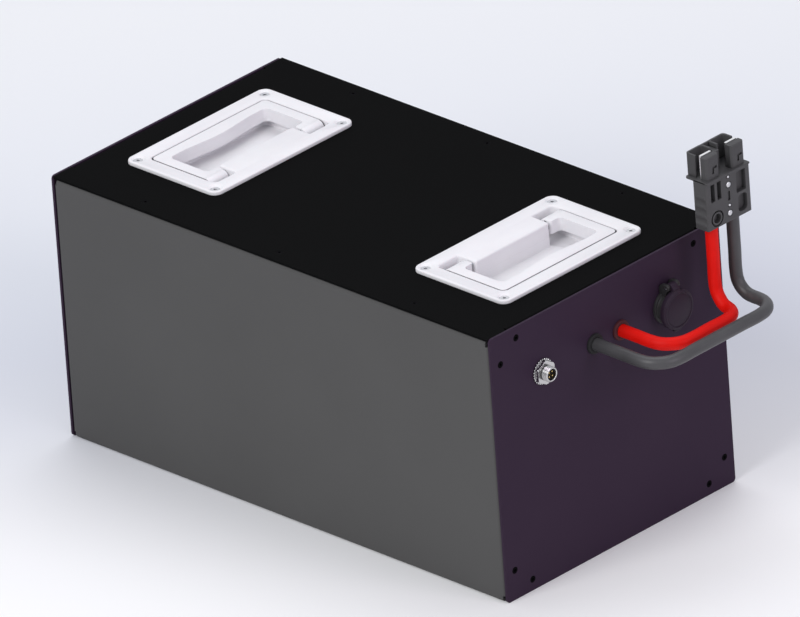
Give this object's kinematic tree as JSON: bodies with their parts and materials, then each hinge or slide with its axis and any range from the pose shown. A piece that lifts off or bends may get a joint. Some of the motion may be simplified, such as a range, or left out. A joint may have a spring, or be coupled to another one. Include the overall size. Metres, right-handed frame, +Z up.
{
  "type": "lithium-ion battery pack",
  "caption": "Battery pack in a steel case with folding recessed handles, a two-pole lead connector, a data socket and a capped charging port.",
  "frame": {"origin": "centre of the case's flat underside", "axes": "+X to the end plate with the leads, +Y to the charging port's side, +Z up"},
  "size_m": [0.5285, 0.2492, 0.298],
  "materials": {
    "sheet_grey": "satin powder coat",
    "sheet_black": "matt powder coat",
    "sheet_plum": "satin powder coat",
    "screw_dark": "black oxide",
    "zinc_steel": "zinc plated",
    "nylon_white": "satin moulded",
    "nickel": "nickel plated",
    "plastic_black": "satin moulded",
    "gold_contact": "gold plated",
    "rubber_black": "matt",
    "rubber_red": "matt",
    "lead_sleeve_grey": "satin",
    "lead_sleeve_red": "satin",
    "lug_copper": "tinned",
    "connector_grey": "satin moulded",
    "silver_contact": "silver plated",
    "cap_dark": "satin moulded",
    "cell_can": "film wrapped",
    "foam": "matt",
    "aluminium": "mill finish",
    "insulation": "matt",
    "board_green": "gloss",
    "fuse_body": "matt"
  },
  "bodies": {
    "pack": {"case_body": "sheet_grey", "top_cover": "sheet_black", "front_end_plate": "sheet_plum", "rear_end_plate": "sheet_plum", "case_screws": "screw_dark", "clinch_nuts": "zinc_steel", "handle_tray_front": "nylon_white", "handle_tray_rear": "nylon_white", "bail_pins_front": "zinc_steel", "bail_pins_rear": "zinc_steel", "handle_screws": "zinc_steel", "handle_nuts": "zinc_steel", "data_socket_shell": "nickel", "data_socket_washer": "nickel", "data_socket_nut": "nickel", "data_socket_insert": "plastic_black", "data_socket_pins": "gold_contact", "grommet_black": "rubber_black", "grommet_red": "rubber_red", "lead_black": "lead_sleeve_grey", "lead_red": "lead_sleeve_red", "lead_tails": "lug_copper", "connector_housing": "connector_grey", "connector_contacts": "silver_contact", "connector_rivets": "zinc_steel", "port_body": "plastic_black", "port_insert": "plastic_black", "port_pins": "gold_contact", "port_nut": "zinc_steel", "port_cap_pin": "zinc_steel", "cell_01": "cell_can", "cell_02": "cell_can", "cell_03": "cell_can", "cell_04": "cell_can", "cell_05": "cell_can", "cell_06": "cell_can", "cell_07": "cell_can", "cell_08": "cell_can", "cell_09": "cell_can", "cell_10": "cell_can", "cell_11": "cell_can", "cell_12": "cell_can", "cell_13": "cell_can", "cell_14": "cell_can", "cell_15": "cell_can", "cell_16": "cell_can", "base_pad": "foam", "side_pads": "foam", "clamp_plate_left": "aluminium", "clamp_plate_right": "aluminium", "tie_rods": "zinc_steel", "insulation_plate": "insulation", "busbars": "lug_copper", "bms_bracket": "zinc_steel", "bms_board": "board_green", "bms_heatsink": "aluminium", "main_fuse": "fuse_body"},
    "front_bail": {"bail_front": "nylon_white"},
    "rear_bail": {"bail_rear": "nylon_white"},
    "flip_cap": {"port_cap": "cap_dark"}
  },
  "joints": [
    {"name": "bail_front_hinge", "type": "hinge", "parent": "pack", "child": "front_bail", "pos_m": [0.1265, 0, 0.2171], "axis": [0, -1, 0], "range_deg": [0, 90]},
    {"name": "bail_rear_hinge", "type": "hinge", "parent": "pack", "child": "rear_bail", "pos_m": [-0.1265, 0, 0.2171], "axis": [0, 1, 0], "range_deg": [0, 90]},
    {"name": "port_cap_hinge", "type": "hinge", "parent": "pack", "child": "flip_cap", "pos_m": [0.235, 0.063, 0.1915], "axis": [0, -1, 0], "range_deg": [0, 110]}
  ]
}
